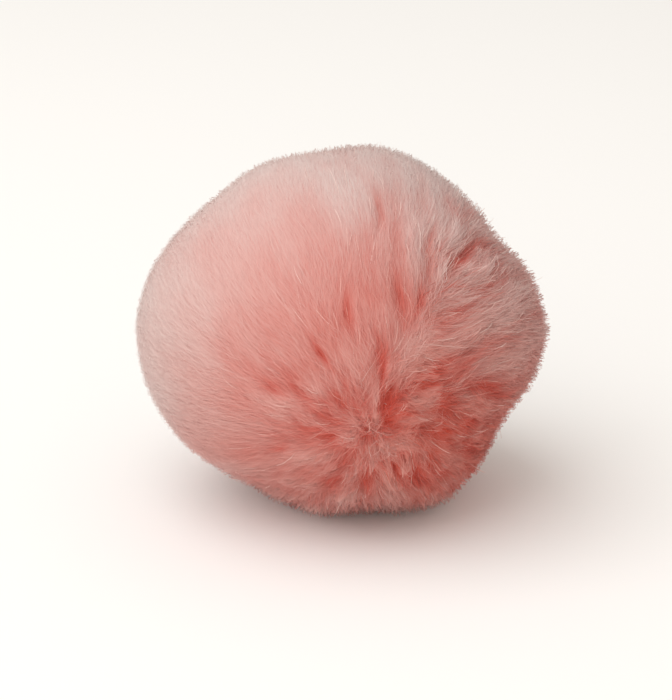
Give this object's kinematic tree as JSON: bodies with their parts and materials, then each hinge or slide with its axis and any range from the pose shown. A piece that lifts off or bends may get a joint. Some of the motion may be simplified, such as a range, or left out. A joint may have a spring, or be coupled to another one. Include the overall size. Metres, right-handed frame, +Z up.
{
  "type": "fur pom pom",
  "caption": "Soft round ball of dyed long-haired fur, combed outward from a parting, for trimming a hat, bag or key ring. Rests on a small flat spot.",
  "frame": {"origin": "on the surface that the ball rests on, under the middle of the ball", "axes": "+Z up, -Y towards the viewer, which is the side with the parting, low and a little to +X"},
  "size_m": [0.0796, 0.0734, 0.0688],
  "materials": {
    "fur": "matt, soft"
  },
  "bodies": {
    "root": {"fur_ball": "fur"}
  },
  "joints": []
}
